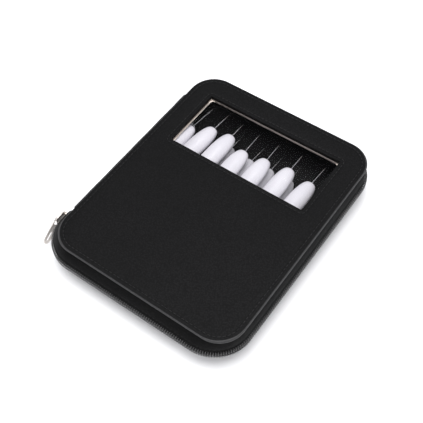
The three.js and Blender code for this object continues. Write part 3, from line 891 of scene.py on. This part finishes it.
def make_pull():
    joint = [j for j in frame["joints"] if j["name"] == "pull_swing"][0]
    pivot = Vector(joint["pos_m"])
    length, half, eye_half, eye_rim = 21.6 * MM, 3.9 * MM, 2.4 * MM, 0.85 * MM
    neck = -5.6 * MM
    side = [(-eye_half - eye_rim, 0.1 * MM), (-eye_half - eye_rim, neck + 2.6 * MM), (-half, neck + 1.2 * MM)]
    outline = side + circle_points(0, -length + half, half, math.pi, math.tau, 24)
    outline += [(-x, y) for x, y in reversed(side)]
    outline += circle_points(eye_half + eye_rim - 0.45 * MM, 0.0, 0.45 * MM, 0, math.pi / 2, 5)
    outline += circle_points(-eye_half - eye_rim + 0.45 * MM, 0.0, 0.45 * MM, math.pi / 2, math.pi, 5)
    eye_top, eye_low, cut = -0.5 * MM, neck + 0.4 * MM, 0.5 * MM
    eye = [(-eye_half, eye_top), (eye_half, eye_top), (eye_half, eye_low + cut), (eye_half - cut, eye_low)]
    eye += [(-eye_half + cut, eye_low), (-eye_half, eye_low + cut)]
    slot_r, slot_low, slot_run = 1.1 * MM, -length + half, 5 * MM
    slot = long_slot(slot_low, slot_run, slot_r, 14)
    tab = flat_plate(outline, [eye, slot], 0.9 * MM, 0.2 * MM)
    rim_line = long_slot(slot_low, slot_run, slot_r + 0.55 * MM, 16)
    around = [math.tau * c / 10 for c in range(10)]
    rings = []
    for i, (x, y) in enumerate(rim_line):
        before, after = rim_line[i - 1], rim_line[(i + 1) % len(rim_line)]
        tx, ty = after[0] - before[0], after[1] - before[1]
        size = math.hypot(tx, ty)
        nx, ny = ty / size, -tx / size
        ring = []
        for a in around:
            out = 0.42 * MM * math.cos(a)
            ring.append((x + nx * out, y + ny * out, 0.38 * MM * math.sin(a) + 0.25 * MM))
        rings.append(ring)
    verts, faces = sweep(rings, closed_path=True)
    rim = bpy.data.meshes.new("pull_rim")
    rim.from_pydata(verts, [], faces)
    mesh = join_meshes([tab, rim])
    stand_up = Matrix(((0, 0, -1, 0), (0, 1, 0, 0), (1, 0, 0, 0), (0, 0, 0, 1)))
    droop = math.atan2(-joint["axis"][1], joint["axis"][2])
    mesh.transform(Matrix.Translation(pivot) @ Matrix.Rotation(droop, 4, "X") @ stand_up)
    shape = bmesh.new()
    shape.from_mesh(mesh)
    bmesh.ops.recalc_face_normals(shape, faces=shape.faces)
    shape.to_mesh(mesh)
    shape.free()
    finish_piece("pull_tab_metal", mesh, zip_metal, "pull", ["pull_tab"], 50)


# ---- tools ----
# Distance back from the nose and half width there, in millimetres.
HANDLE_PROFILE = [
    (0, 1.35), (0.15, 2.2), (0.6, 3.3), (1.4, 4.2), (3, 5.1), (5.3, 5.9), (8.3, 6.55), (12, 7.0),
    (17, 7.38), (25, 7.42), (36, 7.42), (48, 7.35), (64, 7.2), (80, 6.75), (95, 6.1), (104, 5.5),
    (110, 4.9), (113, 4.2), (114.4, 3.2), (115, 1.8),
]


def smooth_profile(points, steps=4):
    """Catmull-Rom through the points, so that the outline has no corners."""
    fine = []
    for i in range(len(points) - 1):
        a, b = points[max(i - 1, 0)], points[i]
        c, d = points[i + 1], points[min(i + 2, len(points) - 1)]
        for k in range(steps):
            t = k / steps
            point = []
            for n in (0, 1):
                square = 2 * a[n] - 5 * b[n] + 4 * c[n] - d[n]
                cube = 3 * b[n] - a[n] - 3 * c[n] + d[n]
                point.append(0.5 * (2 * b[n] + (c[n] - a[n]) * t + square * t * t + cube * t ** 3))
            fine.append(tuple(point))
    return fine + [points[-1]]


def tool_matrix(row, i):
    """Where a tool's nose is, and which way it points, from its slide's axis and its handle's box."""
    joint = [j for j in frame["joints"] if j["name"] == f"{row}_needle_{i}_pull"][0]
    direction = Vector(joint["axis"]).normalized()
    low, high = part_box(f"{row}_needle_{i}")
    h_low, h_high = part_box(f"{row}_handle_{i}")
    centre_z = (h_low.z + h_high.z) / 2
    tip_y = high.y
    run = high.y - low.y
    centre = (low + high) / 2
    tip = Vector((centre.x + direction.x / direction.y * run / 2, tip_y, centre_z))
    length = run / direction.y
    turn = math.atan2(direction.x, direction.y)
    return tip, turn, length, (h_high.z - h_low.z) / 2


def lathe(profile, sides, squash=1.0):
    angles = [math.tau * c / sides for c in range(sides)]
    return sweep([[(r * math.cos(a), y, r * squash * math.sin(a)) for a in angles] for y, r in profile])


def make_tool(row, i, body_handle, body_needle):
    tip, turn, needle_length, half_h = tool_matrix(row, i)
    free = needle_length - NEEDLE_SEAT
    nose = tip - Vector((math.sin(turn), math.cos(turn), 0)) * free
    place = Matrix.Translation(nose) @ Matrix.Rotation(-turn, 4, "Z")
    squash = half_h / HALF_WIDTH
    profile = [(-back * MM, r * MM) for back, r in smooth_profile(HANDLE_PROFILE)]
    bore = 0.75 * MM
    profile = [(-6 * MM, bore * 0.7), (-0.2 * MM, bore), (0.0, bore + 0.12 * MM)] + profile
    verts, faces = lathe(profile, 48, squash)
    verts = [place @ Vector(v) for v in verts]
    name = f"{row}_handle_{i}"
    piece(name + "_moulding", verts, faces, handle_white, body_handle, [name], 55)
    name = f"{row}_needle_{i}"
    low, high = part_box(name)
    r = (high.z - low.z) / 2
    profile = [(-NEEDLE_SEAT, r * 0.8), (-NEEDLE_SEAT + 0.4 * MM, r), (0.6 * MM, r), (1.2 * MM, r * 0.92)]
    profile += [(free * 0.45, r * 0.9), (free * 0.5, r * 0.78), (free - 4 * MM, r * 0.72)]
    profile += [(free - 1.6 * MM, r * 0.5), (free - 0.3 * MM, r * 0.22), (free, r * 0.05)]
    verts, faces = lathe(profile, 12)
    verts = [place @ Vector(v) for v in verts]
    piece(name + "_steel", verts, faces, needle_steel, body_needle, [name], 50)


def make_tools():
    for row, count in (("upper", 7), ("lower", 5)):
        for i in range(1, count + 1):
            make_tool(row, i, f"{row}_tool_{i}", f"{row}_point_{i}")


# ---- elastic bands ----
def make_bands():
    """The frame's own bands stay as they are and only get their cloth."""
    for row in ("upper", "lower"):
        for end in ("window", "butt"):
            mesh = frame["nodes"][f"{row}_band_{end}_end"].data
            mesh.materials.clear()
            mesh.materials.append(elastic_cloth)


# ---- camera, floor and light ----
def make_camera():
    azimuth, elevation, roll = math.radians(38.85), math.radians(55.35), math.radians(-3.615)
    distance = 557.7 * MM
    target = Vector((5.81 * MM, -13.59 * MM, case_top))
    level = math.cos(elevation)
    back = Vector((math.sin(azimuth) * level, -math.cos(azimuth) * level, math.sin(elevation)))
    right = Vector((math.cos(azimuth), math.sin(azimuth), 0))
    up = back.cross(right)
    turned_right = right * math.cos(roll) + up * math.sin(roll)
    turned_up = up * math.cos(roll) - right * math.sin(roll)
    camera = bpy.data.objects.new("camera", bpy.data.cameras.new("camera"))
    camera.data.sensor_width = 36
    camera.data.lens = 67.02
    place = Matrix((turned_right, turned_up, back)).transposed().to_4x4()
    place.translation = target + back * distance
    camera.matrix_world = place
    bpy.context.collection.objects.link(camera)
    bpy.context.scene.camera = camera


def make_floor():
    mesh = bpy.data.meshes.new("floor")
    size = 6.0
    z = cad_box[0].z - 0.1 * MM
    corners = [(-size, -size, z), (size, -size, z), (size, size, z), (-size, size, z)]
    mesh.from_pydata(corners, [], [(0, 1, 2, 3)])
    mesh.materials.append(floor_material())
    floor = bpy.data.objects.new("floor", mesh)
    bpy.context.collection.objects.link(floor)


def area_light(name, place, aim, size, power):
    data = bpy.data.lights.new(name, "AREA")
    data.shape = "RECTANGLE"
    data.size, data.size_y = size
    data.energy = power
    light = bpy.data.objects.new(name, data)
    light.location = place
    light.rotation_mode = "QUATERNION"
    light.rotation_quaternion = (Vector(aim) - Vector(place)).to_track_quat("-Z", "Y")
    bpy.context.collection.objects.link(light)


def make_light():
    world = bpy.data.worlds.new("studio")
    world.use_nodes = True
    world.node_tree.nodes["Background"].inputs["Color"].default_value = (0.96, 0.965, 1.0, 1)
    world.node_tree.nodes["Background"].inputs["Strength"].default_value = 0.68
    bpy.context.scene.world = world
    bpy.context.scene.view_settings.view_transform = "Standard"
    area_light("key", (-0.06, 0.04, 1.3), (0, 0, 0), (1.2, 1.2), 20)
    area_light("near", (0.1, -1.0, 0.3), (0, -0.05, 0.01), (0.7, 0.3), 2.2)
    area_light("side", (1.0, -0.05, 0.35), (0, 0, 0.02), (0.5, 0.4), 2.2)


make_camera()
make_floor()
make_light()
make_covers()
make_linings()
make_window()
for row, body, flip in (("upper", "front_half", False), ("lower", "back_half", True)):
    make_gusset(row, body, flip)
    make_tape(row, body, flip)
    make_coil(row, body, flip)
make_stops()
make_spine()
make_hem()
make_slider()
make_pull()
make_tools()
make_bands()
